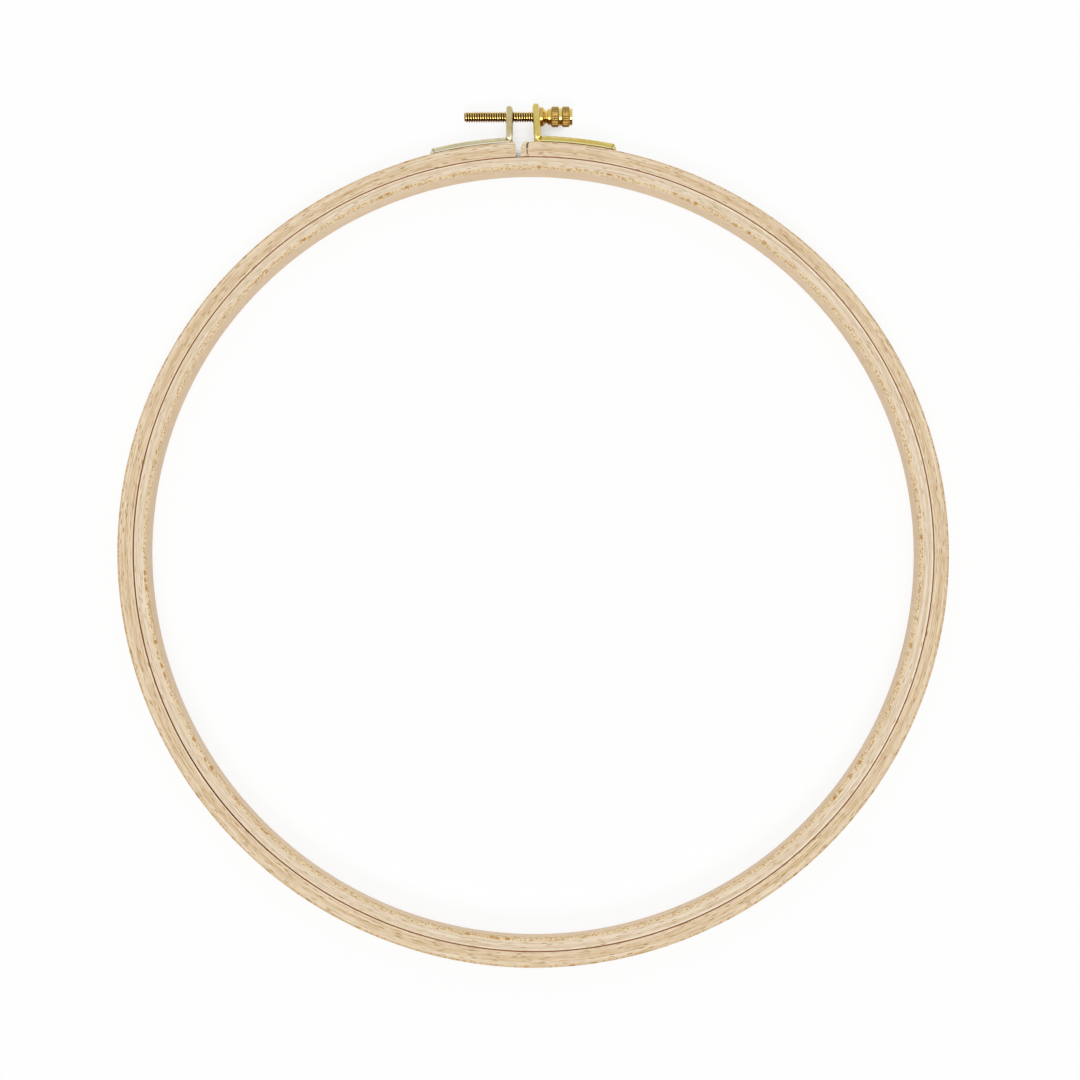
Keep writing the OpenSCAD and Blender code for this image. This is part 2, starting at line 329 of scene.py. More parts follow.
def inner_zones(tree, strip, tone):
    """Masks over the inner ring: a painted highlight on its edge by the joint, strongest on
    the right, and a pale growth ring, the rounded band by the opening, the opening's wall,
    painted brown shade along the joint, a dark growth ring and the scarf's glue line, which
    crosses the ring at a long slant."""
    parts = place(tree, "SeparateXYZ", {0: strip}).outputs
    length, across = parts[0], parts[1]
    up = math_of(tree, "ABSOLUTE", parts[2])
    near_face = ease(tree, up, half_depth - 0.5 * mm, half_depth - 0.1 * mm)
    by_joint = ease(tree, across, ring_t - 0.85 * mm, ring_t - 0.5 * mm)
    spot = place(tree, "SeparateXYZ", {0: place(tree, "TexCoord").outputs["Object"]}).outputs
    # Painted highlight: the edge by the joint is painted paler, most on the right side
    painted_highlight = ease(tree, spot[0], -0.2 * inner_rim_r, 0.8 * inner_rim_r, 0.3, 0.85)
    pale = growth_ring(tree, across, tone, 2.7 * mm, 0.8 * mm)
    edge = math_of(tree, "MULTIPLY", math_of(tree, "MULTIPLY", by_joint, near_face), painted_highlight)
    edge = math_of(tree, "MAXIMUM", edge, math_of(tree, "MULTIPLY", pale, 0.17))
    band_in = ease(tree, across, 1.6 * mm, 1.15 * mm)
    band = math_of(tree, "MULTIPLY", band_in, ease(tree, across, 0.02 * mm, 0.5 * mm))
    wall = ease(tree, across, 0.3 * mm, 0.03 * mm)
    from_joint = math_of(tree, "SUBTRACT", ring_t, across)
    # Painted shade in brown along the joint's edges
    joint = joint_shade(tree, length, from_joint, up, inner_rim_r)
    late = growth_ring(tree, across, tone, 3.4 * mm, 0.75 * mm)
    slant = -scarf_angle * inner_rim_r / ring_t
    from_seam = math_of(tree, "MULTIPLY_ADD", across, slant, length)
    from_seam = math_of(tree, "SUBTRACT", from_seam, scarf_place * inner_rim_r)
    from_seam = math_of(tree, "PINGPONG", from_seam, np.pi * inner_rim_r)
    glue = ease(tree, from_seam, 1.4 * mm, 0.4 * mm, 0.0, 0.25)
    return edge, band, wall, joint, late, glue


section_r, section_z = ring_section(opening_r, inner_rim_r, opening_edge_r, joint_edge_r)
turn = np.linspace(0, 2 * np.pi, ring_rows + 1)[:, None]
across = (section_r - opening_r)[None, :]
angle = scarf_place + turn + scarf_angle * across / ring_t
radius = section_r + out_of_round(angle) + joint_shift(angle) * across / ring_t
radius = radius + sanded_off(angle) * (1 - across / ring_t)
height = np.broadcast_to(section_z, radius.shape)
points = np.stack([radius * np.sin(angle), radius * np.cos(angle), height], 2)
strip = np.stack(np.broadcast_arrays(angle * inner_rim_r, across, section_z[None, :]), 2)
strip = np.concatenate([strip, strip[:, :1]], 1)
inner_material = beech(
    "sanded_inner_beech", (0.0, 0.0, 0.0),
    tones=(srgb(242, 225, 202), srgb(230, 209, 180), srgb(210, 184, 149)),
    dash=srgb(172, 140, 70), fleck=srgb(184, 126, 36), band_tone=srgb(236, 213, 170),
    ink=srgb(150, 110, 70), zones=inner_zones,
)
inner_mesh = skin("inner_ring", points[:-1], True, True, strip)
piece("inner_ring_beech", inner_mesh, inner_material, "inner_ring", "inner_beech", "inner_ring")

# Outer ring
# A second strip of beech, bent the same way, whose ends meet at a saw cut so that it can
# be drawn tight round the cloth. A pencil tick beside the cut marks where it was sawn.

outer_rim_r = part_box("outer_ring_right")[1].x
outer_bore_r = outer_rim_r - ring_t
rim_edge_r = 0.8 * mm
sharp_edge_r = 0.3 * mm
fittings_x = -3 * mm
sharp_half_l = 30 * mm
sharp_fade = 5 * mm
cut_right_x = -3.8 * mm
cut_left_x = -5.45 * mm
cut_corner_h = 1.6 * mm
right_corner = 0.9 * mm
left_corner = 0.3 * mm
tick_x = -1.75 * mm
tick_low = 126.9 * mm
tick_high = 131.1 * mm
tick_hook = 0.55 * mm
foot_spans = ((0.4 * mm, 28 * mm), (-34 * mm, -6.4 * mm))
outer_rows = 760


def outer_zones(tree, strip, tone):
    """Masks over the outer ring: a painted highlight on its edge by the joint and a pale
    growth ring, the rounded band at the rim, which is missing beside the brackets, the rim's
    wall, painted brown shade along the joint and beneath the brackets' feet, a dark growth
    ring and the pencil tick, a stroke across the face that curls at both ends, skips in the
    middle and is heavier towards the rim."""
    parts = place(tree, "SeparateXYZ", {0: strip}).outputs
    across = parts[1]
    up = math_of(tree, "ABSOLUTE", parts[2])
    near_face = ease(tree, up, half_depth - 0.5 * mm, half_depth - 0.1 * mm)
    # Painted highlight: the edge by the joint is painted paler
    edge = math_of(tree, "MULTIPLY", ease(tree, across, 0.7 * mm, 0.35 * mm, 0.0, 0.3), near_face)
    pale = growth_ring(tree, across, tone, 3.6 * mm, 0.9 * mm)
    edge = math_of(tree, "MAXIMUM", edge, math_of(tree, "MULTIPLY", pale, 0.2))
    band = ease(tree, across, ring_t - 0.95 * mm, ring_t - 0.45 * mm, 0.0, 0.8)
    wall = ease(tree, across, ring_t - 0.05 * mm, ring_t - 0.01 * mm, 0.0, 0.5)
    late = growth_ring(tree, across, tone, 2.1 * mm, 1.0 * mm)

    spot = place(tree, "SeparateXYZ", {0: place(tree, "TexCoord").outputs["Object"]}).outputs
    from_fittings = math_of(tree, "ABSOLUTE", math_of(tree, "SUBTRACT", spot[0], fittings_x))
    sanded = ease(tree, from_fittings, sharp_half_l, sharp_half_l + sharp_fade)
    sanded = math_of(tree, "MAXIMUM", sanded, math_of(tree, "LESS_THAN", spot[1], 0.0))
    band = math_of(tree, "MULTIPLY", band, sanded)
    # Painted shade in brown along the joint's edges
    dark = joint_shade(tree, parts[0], across, up, outer_rim_r)
    # Painted shade: a brown line on the edge of the wood's face beneath the brackets' feet
    under = ease(tree, across, ring_t - 0.2 * mm, ring_t - 0.08 * mm)
    arris = ease(tree, up, half_depth - 0.5 * mm, half_depth - 0.3 * mm)
    under = math_of(tree, "MULTIPLY", under, arris)
    under = math_of(tree, "MULTIPLY", under, math_of(tree, "GREATER_THAN", spot[1], 0.0))
    for low, high in foot_spans:
        past_low = ease(tree, spot[0], low - mm, low)
        before_high = ease(tree, spot[0], high, high - mm)
        foot = math_of(tree, "MULTIPLY", under, math_of(tree, "MULTIPLY", past_low, before_high))
        dark = math_of(tree, "MAXIMUM", dark, math_of(tree, "MULTIPLY", foot, 0.5))

    ends = {"Value": spot[1], 1: tick_low, 2: tick_high, 3: -1.0, 4: 1.0}
    along = place(tree, "MapRange", ends, clamp=False).outputs[0]
    from_middle = math_of(tree, "ABSOLUTE", along)
    curl = math_of(tree, "POWER", from_middle, 6.0)
    stroke_x = math_of(tree, "MULTIPLY_ADD", curl, tick_hook, tick_x)
    aside = math_of(tree, "ABSOLUTE", math_of(tree, "SUBTRACT", spot[0], stroke_x))
    heavy = ease(tree, along, -0.1, 0.1, 0.18 * mm, 0.33 * mm)
    stroke = ease(tree, math_of(tree, "SUBTRACT", aside, heavy), 0.08 * mm, -0.08 * mm)
    whole = math_of(tree, "MULTIPLY", stroke, ease(tree, from_middle, 1.02, 0.96))
    skipped = math_of(tree, "MULTIPLY", whole, ease(tree, from_middle, 0.04, 0.12, 0.2))
    tick = math_of(tree, "MULTIPLY", skipped, ease(tree, parts[2], 0.0, half_depth))
    return edge, band, wall, dark, late, tick


def joint_opening(angle):
    """How far the outer ring's bore stands off its true circle, by the angle: it presses
    on the inner ring all round, less on the left, and least on the lower left."""
    low_left = np.exp(-(np.degrees(angle - open_place) / 15) ** 2)
    left = np.exp(-((np.degrees(angle) - 268) / 26) ** 2)
    return (-0.31 + 0.2 * low_left + 0.08 * left + 0.01 * np.sin(5 * angle)) * mm


def sawn_beech():
    """End grain as the saw left it: brown, with fine scores from the blade and dark pores."""
    material = bpy.data.materials.new("sawn_beech")
    material.use_nodes = True
    tree = material.node_tree
    shader = tree.nodes["Principled BSDF"]
    spot = place(tree, "TexCoord").outputs["Object"]
    scores = streaks(tree, spot, (3, 3, 0.3), (1.0, 4.0, 2.0), 2, 0.5)
    pores = streaks(tree, spot, (0.12, 0.12, 0.12), (0.3, 2.0, 5.0), 1, 0.5)
    colour = tint(tree, ease(tree, scores, 0.35, 0.65), srgb(128, 92, 66), srgb(164, 126, 94))
    colour = tint(tree, ease(tree, pores, 0.6, 0.72, 0.0, 0.6), colour, srgb(84, 58, 40))
    tree.links.new(colour, shader.inputs["Base Color"])
    shader.inputs["Roughness"].default_value = 0.8
    bump = place(tree, "Bump", {"Strength": 0.3, "Distance": 0.05 * mm, "Height": scores})
    tree.links.new(bump.outputs[0], shader.inputs["Normal"])
    return material


turn = np.linspace(0, 1, outer_rows + 1)[:, None]
# The rim is sanded round after the brackets are nailed on, so it stays sharp beside them
from_top = np.sin(2 * np.pi * turn) * outer_rim_r - fittings_x
kept = np.clip((sharp_half_l + sharp_fade - np.abs(from_top)) / sharp_fade, 0, 1)
kept = kept * (np.cos(2 * np.pi * turn) > 0)
round_r, round_z = ring_section(outer_bore_r, outer_rim_r, joint_edge_r, rim_edge_r)
sharp_r, sharp_z = ring_section(outer_bore_r, outer_rim_r, joint_edge_r, sharp_edge_r)
section_r = round_r + (sharp_r - round_r) * kept
section_z = round_z + (sharp_z - round_z) * kept
across = section_r - outer_bore_r
broken = np.clip((across - ring_t + cut_corner_h) / cut_corner_h, 0, 1)
start = np.arcsin((cut_right_x + right_corner * broken) / section_r)
end = 2 * np.pi + np.arcsin((cut_left_x - left_corner * broken) / section_r)
angle = start + (end - start) * turn
stand_off = (joint_opening(angle) + joint_shift(angle)) * (1 - across / ring_t)
radius = section_r + out_of_round(angle) + stand_off
points = np.stack([radius * np.sin(angle), radius * np.cos(angle), section_z], 2)
strip = np.stack([angle * outer_rim_r, across, section_z], 2)
strip = np.concatenate([strip, strip[:, :1]], 1)
outer_material = beech(
    "sanded_outer_beech", (7.3, 41.7, 13.1),
    tones=(srgb(240, 222, 193), srgb(227, 203, 169), srgb(204, 171, 127)),
    dash=srgb(156, 114, 8), fleck=srgb(198, 146, 84), band_tone=srgb(217, 188, 146),
    ink=srgb(52, 40, 38), zones=outer_zones,
)
outer_mesh = skin("outer_ring", points, False, True, strip, end_caps=True)
outer_mesh.set_sharp_from_angle(angle=math.radians(40))
outer_ring = piece(
    "outer_ring_beech", outer_mesh, outer_material, None, "outer_beech",
    "outer_ring_right", "outer_ring_left",
)
outer_mesh.materials.append(sawn_beech())
for cap in outer_mesh.polygons[-2:]:
    cap.material_index = 1
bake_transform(outer_ring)

# Brackets
# Two strips of brass sheet, each pressed into a shallow tray with a turned-up rim, bent
# into a foot along the wood and a lug for the screw. The left lug's hole is drawn out.

half_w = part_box("plain_bracket")[1].z
rim_h = 2.15 * mm
sheet_t = 0.62 * mm
back_edge_r = 1.0 * mm
foot_edge_r = 0.35 * mm
tail_edge_r = 1.5 * mm
crease_x = 1.8 * mm
floor_edge_r = 0.4 * mm
bend_r = 1.8 * mm
inner_bend_r = 0.9 * mm
corner_r = 1.5 * mm
hole_r = 1.9 * mm
tapped_wall = 0.6 * mm
tapped_h = 1.9 * mm
tumbled = 0.55 * mm
worn_down = 0.6 * mm
plain_rise = 0.83 * rim_h
drill_before = 2 * mm
drill_after = 4 * mm
hole_sides = 48
brass_sharp = math.radians(38)
screw_y = next(j for j in frame["joints"] if j["name"] == "thumbscrew_turn")["pos_m"][1]
seat_r = outer_rim_r + out_of_round(0.0)
foot_top_y = seat_r + rim_h


def bent_path(side, share, rise, lug_x, tail, lug_top):
    """Places on a bracket seen from the front, at a share of its way and a height above
    the sheet's back. From 0 to 1 it follows the rim from the tail, from 1 to 2 it turns
    the bend, and from 2 to 3 it climbs the lug. The bend tightens with the height."""
    bend = bend_r + (inner_bend_r - bend_r) * rise / rim_h
    middle_x = lug_x + rise + bend
    near = np.arcsin(middle_x / (seat_r + rise + bend))
    middle_y = middle_x / np.tan(near)
    foot = tail + (near - tail) * np.clip(share, 0, 1)
    foot_r = outer_rim_r + out_of_round(side * foot) + rise
    foot_r = foot_r + (seat_r + rise - foot_r) * np.clip(share, 0, 1) ** 4
    corner = near + (np.pi / 2 - near) * np.clip(share - 1, 0, 1)
    x = np.where(share < 1, foot_r * np.sin(foot), middle_x - bend * np.sin(corner))
    y = np.where(share < 1, foot_r * np.cos(foot), middle_y - bend * np.cos(corner))
    return x, y + (lug_top - middle_y) * np.clip(share - 2, 0, 1)


def tray(side, lug_x, tail, lug_top, lean, swell):
    """A pressed tray, as points and as places in the flat strip: its section, from the
    middle of the back out to the rim and back to the middle of the floor, carried round
    the outline of the flat strip and then bent. Each section point is a distance in from
    the outline and a height. The lug leans about the screw, and the foot swells a little."""
    arc_points, corner_points = 7, 9
    foot_points, bend_points, lug_points = 40, 19, 16
    quarter = np.linspace(0, np.pi / 2, arc_points)
    lip = sheet_t / 2
    middle = [half_w, 0.6 * half_w]
    inset = np.concatenate([
        middle, back_edge_r * (1 - np.sin(quarter)), lip * (1 - np.cos(2 * quarter)),
        sheet_t + floor_edge_r * (1 - np.cos(quarter)), middle[::-1],
    ])[:, None]
    rise = np.concatenate([
        [0.0, 0.0], back_edge_r * (1 - np.cos(quarter)),
        rim_h - lip + lip * np.sin(2 * quarter),
        sheet_t + floor_edge_r * (1 - np.sin(quarter)), [sheet_t, sheet_t],
    ])[:, None]

    foot_l = outer_rim_r * (tail - np.arcsin((lug_x + bend_r) / (outer_rim_r + bend_r)))
    bend_l = bend_r * np.pi / 2
    lug_l = lug_top - seat_r - bend_r
    ends = np.cumsum([0, foot_l, bend_l, lug_l])
    run = np.concatenate([
        np.linspace(ends[0], ends[1], foot_points)[:-1],
        np.linspace(ends[1], ends[2], bend_points)[:-1],
        np.linspace(ends[2], ends[3], lug_points),
    ]) / ends[3]
    round_end = np.linspace(0, np.pi / 2, corner_points)[1:-1]
    corner = np.maximum(corner_r - inset, 0.0)
    wide = half_w - inset
    near, far = inset + corner, ends[3] - inset - corner
    straight = near + (far - near) * run
    edge = np.zeros_like(straight) + wide
    reach_out, reach_back = corner * np.sin(round_end), corner * np.sin(round_end[::-1])
    pull_in, pull_out = corner * (1 - np.cos(round_end)), corner * (1 - np.cos(round_end[::-1]))
    length = np.hstack([
        straight, far + reach_out, far + reach_back,
        straight[:, ::-1], near - reach_out, near - reach_back,
    ])
    width = np.hstack([
        edge, wide - pull_in, pull_out - wide, -edge, pull_in - wide, wide - pull_out,
    ])
    rise = np.broadcast_to(rise, length.shape)
    flat = np.stack([length, rise, width], 2)

    share = np.interp(length, ends, [0.0, 1.0, 2.0, 3.0])
    part = rise / rim_h
    # The back's edge is pressed squarer along the foot than up the lug
    below = np.clip(foot_edge_r - rise, 0, foot_edge_r)
    square = foot_edge_r - np.sqrt(foot_edge_r ** 2 - below ** 2)
    fuller = (half_w - square) / np.maximum(wide, 0.4 * half_w)
    past_middle = np.arange(len(inset))[:, None] - len(middle)
    on_back_edge = (past_middle >= 0) & (past_middle < arc_points)
    width = width * (1 + (fuller - 1) * on_back_edge * np.clip((1.2 - share) / 0.4, 0, 1))
    # The side walls slope in the bend, and are pinched at its inner corner
    fold = np.exp(-((share - 1.5) / 0.36) ** 2)
    pinch = np.exp(-((share - 1.35) / 0.17) ** 2) * np.clip(part / 0.3 - 2.33, 0, 1)
    width = width * (1 - 0.36 * fold * (1 - part) - 0.5 * pinch)
    # The rim falls away round the tail's end
    past = np.clip(tail_edge_r - length, 0, tail_edge_r)
    fallen = (tail_edge_r - np.sqrt(tail_edge_r ** 2 - past ** 2)) / rim_h
    thicker = 1 + swell * np.clip((3 - share) / 2, 0, 1)
    x, y = bent_path(side, share, rise * (1 - fallen) * thicker, lug_x, tail, lug_top)
    tilt = (y - screw_y) / (lug_top - screw_y)
    x = x + np.clip((share - 0.7) / 0.4, 0, 1) * lean * tilt
    # The lug's top is tumbled round
    y = y - tumbled * np.clip((share - 2.86) / 0.14, 0, 1) * (2 * part - 1) ** 4
    return np.stack([side * x, y, width], 2), flat


def weld(mesh):
    """Joins points that lie on each other, where a grid closes on itself."""
    work = bmesh.new()
    work.from_mesh(mesh)
    bmesh.ops.remove_doubles(work, verts=work.verts, dist=1e-7)
    bmesh.ops.recalc_face_normals(work, faces=work.faces)
    work.to_mesh(mesh)
    work.free()


def turned(name, along, radius, columns, place_of):
    """A solid turned about an axis: a profile of places and radii carried round a circle.
    place_of maps places along the axis and two offsets square to it to points. Its strip
    runs along the axis and round it, at a height where the brass has no painted highlight
    or shade."""
    turn = np.linspace(0, 2 * np.pi, columns + 1)
    along, radius = np.asarray(along)[:, None], np.asarray(radius)[:, None]
    points = place_of(along, radius * np.cos(turn[:-1]), radius * np.sin(turn[:-1]))
    strip = np.stack(np.broadcast_arrays(along, plain_rise, radius * turn), 2)
    mesh = skin(name, np.stack(np.broadcast_arrays(*points), 2), False, True, strip)
    weld(mesh)
    return mesh


def on_screw_axis(x, a, b):
    """A place along the screw and two offsets square to it, as a point."""
    return x, screw_y + a, b


def drilled(obj, x_from, x_to):
    """Cuts the screw's hole through a lug."""
    along, radius = [x_from, x_from, x_to, x_to], [0.0, hole_r, hole_r, 0.0]
    tool = turned("drill", along, radius, hole_sides, on_screw_axis)
    drill = bpy.data.objects.new("drill", tool)
    bpy.context.scene.collection.objects.link(drill)
    cut = obj.modifiers.new("hole", "BOOLEAN")
    cut.object = drill
    cut.solver = "EXACT"
    bpy.context.view_layer.update()
    solid = obj.evaluated_get(bpy.context.evaluated_depsgraph_get())
    mesh = bpy.data.meshes.new_from_object(solid)
    obj.modifiers.remove(cut)
    obj.data = mesh
    bpy.data.objects.remove(drill)
    mesh.set_sharp_from_angle(angle=brass_sharp)


def brass_wear():
    """The wear of brass: cloudy oxide, and streaks from rolling or turning that run
    along the first coordinate."""
    group, given, made = new_group(
        "brass_wear", {"Spot": "Vector"}, {"Clouds": "Float", "Streaks": "Float"},
    )
    clouds = streaks(group, given.outputs[0], (2.6, 2.6, 2.6), (3.1, 0.7, 5.3), 4, 0.6)
    rolled = streaks(group, given.outputs[0], (6, 0.22, 0.22), (0.4, 9.0, 2.2), 3, 0.6)
    group.links.new(clouds, made.inputs[0])
    group.links.new(rolled, made.inputs[1])
    return group


wear = brass_wear()


def pressed_brass(name, clean, dull, highlight_tone, handled):
    """Rolled brass sheet with a satin, slightly cloudy finish, streaked along the strip,
    with a painted highlight along its lip, and browned by fingers on the lug. The foot has
    painted shade along its middle, a painted highlight low down and past the crease at its
    tail, a painted shade line in the crease, and a painted shadow line where it meets the
    wood, away from the bend."""
    material = bpy.data.materials.new(name)
    material.use_nodes = True
    tree = material.node_tree
    shader = tree.nodes["Principled BSDF"]
    strip = place(tree, "Attribute", attribute_name="strip").outputs["Vector"]
    marks = place(tree, "Group", {0: strip}, node_tree=wear).outputs
    colour = tint(tree, ease(tree, marks["Clouds"], 0.35, 0.7), clean, dull)
    colour = tint(tree, ease(tree, marks["Streaks"], 0.45, 0.7, 0.0, 0.5), colour, dull)
    spot = place(tree, "SeparateXYZ", {0: place(tree, "TexCoord").outputs["Object"]}).outputs
    on_lug = ease(tree, spot[1], foot_top_y, foot_top_y + 1.5 * mm)
    colour = tint(tree, math_of(tree, "MULTIPLY", on_lug, 0.5), colour, handled)
    parts = place(tree, "SeparateXYZ", {0: strip}).outputs
    rise, aside = parts[1], math_of(tree, "ABSOLUTE", parts[2])
    # Painted highlight along the lip
    painted_highlight = ease(tree, rise, 0.84 * rim_h, 0.98 * rim_h, 0.0, 0.7)
    colour = tint(tree, painted_highlight, colour, srgb(248, 236, 188))
    # The tray's floor, inside its walls, is spared
    side_wall = ease(tree, aside, half_w - 0.9 * sheet_t, half_w - 0.7 * sheet_t)
    outside = math_of(tree, "MAXIMUM", side_wall, ease(tree, rise, 0.95 * sheet_t, 0.85 * sheet_t))
    on_foot = math_of(tree, "MULTIPLY", math_of(tree, "SUBTRACT", 1.0, on_lug), outside)
    # Painted shade along the middle of the foot
    from_middle = math_of(tree, "ABSOLUTE", math_of(tree, "SUBTRACT", rise, 0.5 * rim_h))
    middle_shade = ease(tree, from_middle, 0.32 * rim_h, 0.08 * rim_h, 0.0, 0.8)
    colour = tint(tree, math_of(tree, "MULTIPLY", on_foot, middle_shade), colour, dull)
    # Painted highlight low down on the foot, where the sheet is also less metallic
    low_edge_highlight = math_of(tree, "MULTIPLY", on_foot, ease(tree, rise, 0.47 * rim_h, 0.38 * rim_h))
    colour = tint(tree, low_edge_highlight, colour, highlight_tone)
    # Painted highlight past the crease at the tail's end, and a painted shade line in the crease
    slanted = math_of(tree, "MULTIPLY_ADD", rise, 0.35, parts[0])
    tail_end_highlight = ease(tree, slanted, crease_x, crease_x - 0.5 * mm, 0.0, 0.8)
    colour = tint(tree, math_of(tree, "MULTIPLY", on_foot, tail_end_highlight), colour, highlight_tone)
    from_crease = math_of(tree, "ABSOLUTE", math_of(tree, "SUBTRACT", slanted, crease_x))
    crease = ease(tree, from_crease, 0.3 * mm, 0.1 * mm, 0.0, 0.5)
    colour = tint(tree, math_of(tree, "MULTIPLY", on_foot, crease), colour, srgb(84, 50, 8))
    # Painted shadow: a dark line low down where the foot meets the wood, away from the bend
    from_gap = math_of(tree, "ABSOLUTE", math_of(tree, "SUBTRACT", spot[0], fittings_x))
    past_bend = math_of(tree, "MULTIPLY", on_foot, ease(tree, from_gap, 5.0 * mm, 6.0 * mm))
    corner = ease(tree, rise, 0.31 * rim_h, 0.25 * rim_h)
    colour = tint(tree, math_of(tree, "MULTIPLY", past_bend, corner), colour, srgb(66, 36, 2))
    tree.links.new(colour, shader.inputs["Base Color"])
    tree.links.new(ease(tree, low_edge_highlight, 0.0, 1.0, 1.0, 0.7), shader.inputs["Metallic"])
    tree.links.new(ease(tree, marks["Clouds"], 0.3, 0.7, 0.24, 0.34), shader.inputs["Roughness"])
    bump = place(tree, "Bump", {"Strength": 0.1, "Distance": 0.03 * mm, "Height": marks["Streaks"]})
    tree.links.new(bump.outputs[0], shader.inputs["Normal"])
    return material


left_brass = pressed_brass(
    "pale_pressed_brass", clean=srgb(239, 231, 196), dull=srgb(206, 194, 154),
    highlight_tone=srgb(254, 250, 226), handled=srgb(196, 174, 110),
)
right_brass = pressed_brass(
    "yellow_pressed_brass", clean=srgb(239, 221, 136), dull=srgb(214, 189, 100),
    highlight_tone=srgb(252, 240, 168), handled=srgb(224, 203, 118),
)
brackets = {}
for node, side, body, brass, lean, set_back, longer, swell in (
    ("plain_bracket", 1, "right_side", right_brass, -0.18 * mm, 0.0, 0.3 * mm, 0.19),
    ("threaded_bracket", -1, "left_side", left_brass, 0.0, 0.25 * mm, 0.6 * mm, 0.06),
):
    low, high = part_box(node)
    lug_x, tail_x = (low.x, high.x) if side > 0 else (-high.x, -low.x)
    lug_x = lug_x + set_back
    tail = np.arcsin((tail_x + longer) / (outer_rim_r + rim_h))
    points, flat = tray(side, lug_x, tail, high.y - worn_down, lean, swell)
    mesh = skin(node, points, False, True, np.concatenate([flat, flat[:, :1]], 1))
    weld(mesh)
    bracket = piece(node + "_sheet", mesh, brass, body, "pressed_brass", node)
    drilled(bracket, side * (lug_x - drill_before), side * (lug_x + drill_after))
    brackets[node] = (side, lug_x, tail, body, swell)

# Tapped collar
# The threaded lug's brass sheet is drawn out round its hole into a short collar and
# tapped, which gives the screw a longer grip than the sheet alone.

side, lug_x, _, body, _ = brackets["threaded_bracket"]
collar_from, collar_to = side * (lug_x + 0.5 * sheet_t), side * (lug_x + tapped_h)
collar_bevel = 0.2 * mm
collar_mesh = turned(
    "tapped_collar",
    [collar_from, collar_from, collar_to - side * collar_bevel, collar_to, collar_to, collar_from],
    hole_r + np.array([0.0, tapped_wall, tapped_wall, tapped_wall - collar_bevel, 0.0, 0.0]),
    hole_sides, on_screw_axis,
)
collar_mesh.set_sharp_from_angle(angle=brass_sharp)
piece("tapped_collar", collar_mesh, left_brass, body, "pressed_brass")

# Nails
# Two small brass nails through the foot of each bracket hold it to the wood. Their domed
# heads sit down inside the tray.

nail_places = (0.34, 0.78)
nail_head_r = 1.2 * mm
nail_head_h = 0.5 * mm
nail_sunk = 0.1 * mm
nail_sides = 24
dome = np.linspace(np.pi / 2, 0, 9)
nail_brass = pressed_brass(
    "domed_nail_brass", clean=srgb(214, 190, 118), dull=srgb(178, 148, 78),
    highlight_tone=srgb(228, 208, 146), handled=srgb(214, 190, 118),
)
for node, (side, lug_x, tail, body, swell) in brackets.items():
    near = np.arcsin((lug_x + bend_r) / (outer_rim_r + bend_r))
    heads = bmesh.new()
    for share in nail_places:
        turn = near + share * (tail - near)
        seat = outer_rim_r + out_of_round(side * turn) + sheet_t * (1 + swell)
        up = (side * np.sin(turn), np.cos(turn))
        heads.from_mesh(turned(
            "nail", [*(seat + nail_head_h * np.sin(dome)), seat - nail_sunk, seat - nail_sunk],
            [*(nail_head_r * np.cos(dome)), nail_head_r, 0.0], nail_sides,
            lambda r, a, b: (up[0] * r + up[1] * a, up[1] * r - up[0] * a, b),
        ))
    mesh = bpy.data.meshes.new(node + "_nails")
    heads.to_mesh(mesh)
    heads.free()
    piece(node + "_nail_heads", mesh, nail_brass, body, "nail_brass", node + "_nails")

# Thumbscrew
# Turned from one brass bar: a machine thread, a plain neck in the right lug, a collar, a
# hollow waist and two knurled bands to grip. The roots and grooves carry painted shade.

tip_x, head_end_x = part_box("thumbscrew")[0].x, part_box("thumbscrew")[1].x
thread_r = 1.75 * mm
thread_pitch = 0.794 * mm
thread_turns = 29
thread_depth = 0.6134 * thread_pitch
root_flat, flank = 0.1, 0.25
tip_bevel = 0.5 * mm
neck_r = 1.7 * mm
knurl_ridges = 32
knurl_depth = 0.22 * mm
head_l = 10.75 * mm
head_x = head_end_x - head_l
before_head = 1e-9
rows_per_turn = 10
neck_steps = 6
head_steps = 90
columns_per_ridge = 5
thread_end_x = tip_x + thread_turns * thread_pitch

# The head's profile: places along it from the collar's face and radii, in millimetres
collar = [(0.0, 3.0), (0.15, 3.15), (0.95, 3.15), (1.2, 3.02)]
waist = [(1.55, 2.62), (1.95, 2.2), (2.3, 2.05), (2.5, 2.12), (2.75, 2.5)]
bead = [(3.0, 2.62), (3.4, 2.62), (3.65, 2.55)]
first_band = [(3.72, 2.75), (4.15, 3.3), (6.0, 3.3), (6.42, 2.78)]
second_band = [(7.22, 2.78), (7.65, 3.3), (9.5, 3.3), (9.92, 2.75)]
boss = [(10.0, 2.68), (10.6, 2.68), (10.75, 2.5)]
head_profile = np.array(collar + waist + bead + first_band + second_band + boss) * mm


def screw_surface(x, turn):
    """The screw's radius at a place along its axis and an angle, how deep in a groove that
    is, and whether it is knurled: a trapezium thread that advances one pitch a turn, a
    plain neck, and the head with ridges along its two bands."""
    phase = np.mod((x - tip_x) / thread_pitch - turn / (2 * np.pi), 1)
    root = 1 - np.clip((0.5 - np.abs(phase - 0.5) - root_flat) / flank, 0, 1)
    threaded = x < thread_end_x
    shank = np.where(threaded, thread_r - thread_depth * root, neck_r)
    shank = np.minimum(shank, thread_r - tip_bevel + (x - tip_x))
    head = np.interp(x - head_x, head_profile[:, 0], head_profile[:, 1])
    knurled = np.zeros_like(shank)
    for band in (first_band, second_band):
        from_end = np.minimum(x - head_x - band[0][0] * mm, head_x + band[-1][0] * mm - x)
        knurled = knurled + np.clip(from_end / knurl_depth, 0, 1)
    groove = knurled * (0.5 - 0.5 * np.cos(knurl_ridges * turn)) ** 2
    on_head = x >= head_x
    radius = np.where(on_head, head - knurl_depth * groove, shank)
    return radius, np.where(on_head, groove, np.where(threaded, root, 0.0)), knurled


